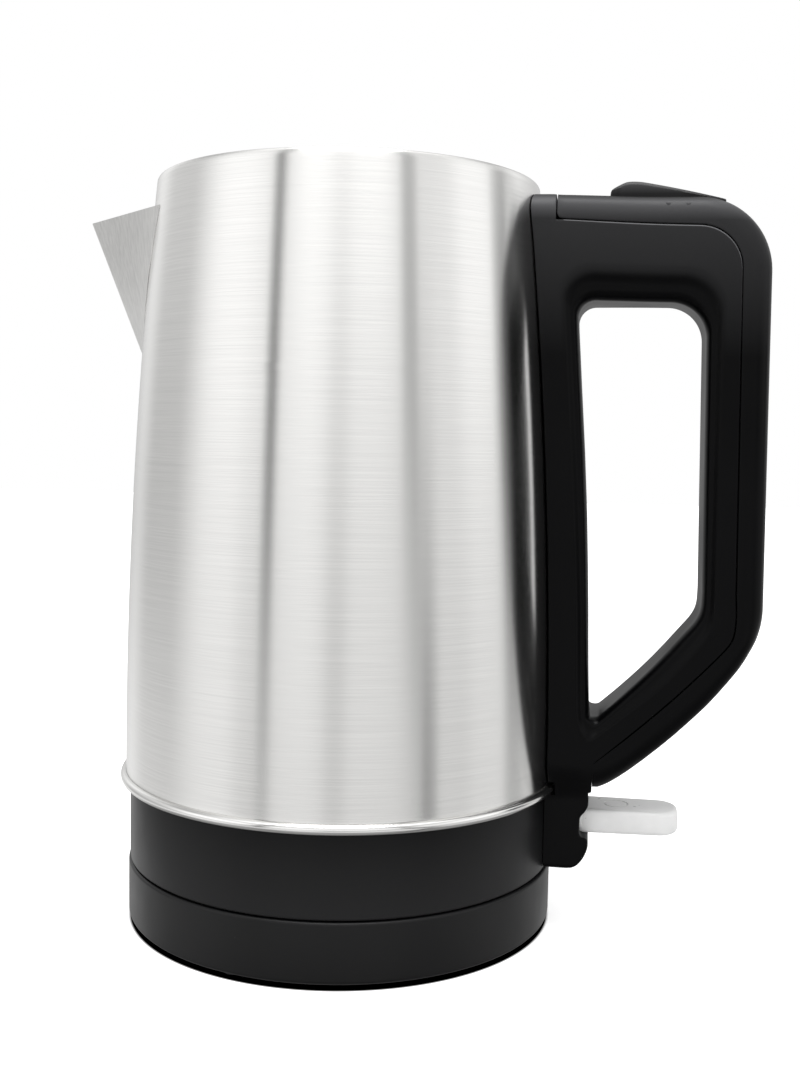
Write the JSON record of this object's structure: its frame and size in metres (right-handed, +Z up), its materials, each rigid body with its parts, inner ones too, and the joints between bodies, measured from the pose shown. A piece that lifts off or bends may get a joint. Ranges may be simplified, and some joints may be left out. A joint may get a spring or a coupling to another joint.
{
  "type": "electric kettle",
  "caption": "Cordless steel jug kettle with a V spout, a loop handle, a hinged lid and a lighted switch paddle, on a round swivelling power base.",
  "frame": {"origin": "middle of the footprint on the plane that the kettle stands on; the vessel's own axis stands at x = -25 mm", "axes": "+Z up, +X from the spout to the handle, +Y across, towards the side where the cord leaves the power base"},
  "size_m": [0.236, 0.1546, 0.2525],
  "materials": {
    "satin_black": "satin moulded plastic",
    "handle_black": "satin moulded plastic, finely textured",
    "lid_black": "satin moulded plastic",
    "inner_black": "plain moulded plastic",
    "brushed_body": "brushed round the body",
    "spout_steel": "fine satin",
    "plain_steel": "mill finish",
    "mesh_steel": "fine woven mesh",
    "polished_trim": "polished",
    "plate_aluminium": "pressed",
    "zinc_screw": "zinc plated",
    "contact_brass": "pressed strip",
    "soft_rubber": "matte",
    "connector_grey": "heat resistant moulding",
    "control_cream": "heat resistant moulding",
    "clear_paddle": "frosted clear",
    "board_green": "lacquered",
    "lamp_clear": "clear"
  },
  "bodies": {
    "power_base": {"base_top_cover": "satin_black", "base_bottom_cover": "satin_black", "base_connector": "connector_grey", "base_live_contact": "contact_brass", "base_neutral_contact": "contact_brass", "base_earth_contact": "contact_brass", "rubber_feet": "soft_rubber", "base_screws": "zinc_screw", "cord_gland": "soft_rubber"},
    "connector_ring": {"connector_ring": "soft_rubber"},
    "kettle": {"vessel_shell": "brushed_body", "spout": "spout_steel", "filter_frame": "inner_black", "filter_mesh": "mesh_steel", "base_trim_ring": "polished_trim", "vessel_floor": "plain_steel", "element_plate": "plate_aluminium", "heating_element": "plate_aluminium", "lower_collar": "satin_black", "underside_cover": "satin_black", "underside_screws": "zinc_screw", "control_housing": "control_cream", "control_screws": "zinc_screw", "bimetal_discs": "contact_brass", "earth_pin": "plain_steel", "neutral_ring": "contact_brass", "live_ring": "contact_brass", "steam_switch": "control_cream", "steam_disc": "contact_brass", "disc_holder": "control_cream", "paddle_pin": "plain_steel", "indicator_board": "board_green", "indicator_lamp": "lamp_clear", "handle_body": "handle_black", "handle_cover": "handle_black", "handle_screws": "zinc_screw", "upper_bracket": "plain_steel", "steam_duct": "connector_grey", "mouth_ring": "inner_black", "lid_pin": "plain_steel", "lid_spring": "plain_steel", "latch_spring": "plain_steel", "lever_pin": "plain_steel"},
    "lid": {"lid_cover": "lid_black", "lid_liner": "plain_steel", "lid_seal": "soft_rubber"},
    "release_lever": {"release_lever": "handle_black"},
    "latch": {"latch_slider": "connector_grey"},
    "switch_paddle": {"switch_paddle": "clear_paddle"},
    "switch_plunger": {"switch_plunger": "control_cream"}
  },
  "joints": [
    {"name": "swivel", "type": "hinge", "parent": "power_base", "child": "connector_ring", "pos_m": [-0.025, 0, 0.018], "axis": [0, 0, 1], "continuous": true},
    {"name": "lift_off", "type": "slide", "parent": "connector_ring", "child": "kettle", "axis": [0, 0, 1], "range_m": [0, 0.06]},
    {"name": "lid_hinge", "type": "hinge", "parent": "kettle", "child": "lid", "pos_m": [0.0345, 0, 0.2476], "axis": [0, 1, 0], "range_deg": [0, 80]},
    {"name": "lever_press", "type": "hinge", "parent": "kettle", "child": "release_lever", "pos_m": [0.091, 0, 0.242], "axis": [0, -1, 0], "range_deg": [0, 10], "stiffness_Nm_per_rad": 0.4, "springref_deg": -8.59},
    {"name": "latch_slide", "type": "slide", "parent": "kettle", "child": "latch", "axis": [1, 0, 0], "range_m": [0, 0.0018], "deforming": ["latch_spring"]},
    {"name": "paddle_rock", "type": "hinge", "parent": "kettle", "child": "switch_paddle", "pos_m": [0.0545, 0, 0.038], "axis": [0, 1, 0], "range_deg": [0, 10]},
    {"name": "plunger_slide", "type": "slide", "parent": "kettle", "child": "switch_plunger", "axis": [0, 0, 1], "range_m": [0, 0.0021]}
  ],
  "couplings": [
    {"joint": "latch_slide", "follows": "lever_press", "m_per_rad": 0.01},
    {"joint": "plunger_slide", "follows": "paddle_rock", "m_per_rad": 0.0115}
  ]
}
